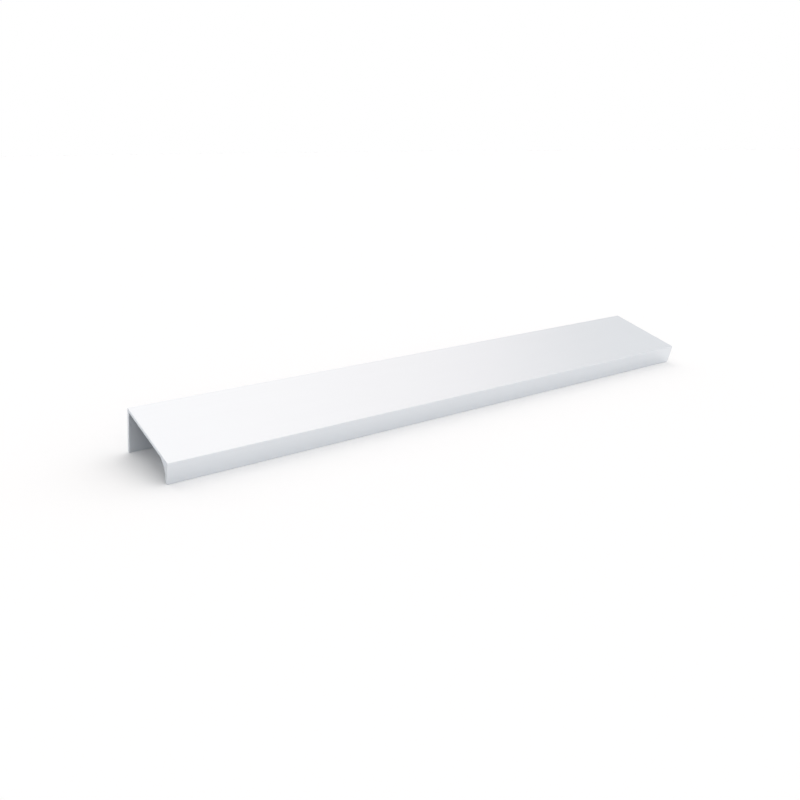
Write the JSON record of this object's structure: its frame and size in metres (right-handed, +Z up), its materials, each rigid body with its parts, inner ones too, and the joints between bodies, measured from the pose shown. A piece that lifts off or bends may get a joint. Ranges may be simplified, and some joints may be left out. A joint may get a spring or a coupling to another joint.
{
  "type": "edge pull",
  "caption": "Extruded aluminium edge pull for a drawer or door front: flat top plate, screwed back leg with countersunk holes, short front lip with a concave finger curve.",
  "frame": {"origin": "on the floor, under the middle of the standing profile: the centre of the base of its bounding box", "axes": "+X along the profile's length, +Y back towards the screwed leg, +Z up. The plate slopes 15.5 degrees down to the front, because the profile stands on its leg and its shorter lip"},
  "size_m": [0.32, 0.0498, 0.0224],
  "materials": {
    "aluminium": "satin anodised, natural silver"
  },
  "bodies": {
    "root": {"pull_profile": "aluminium"}
  },
  "joints": []
}
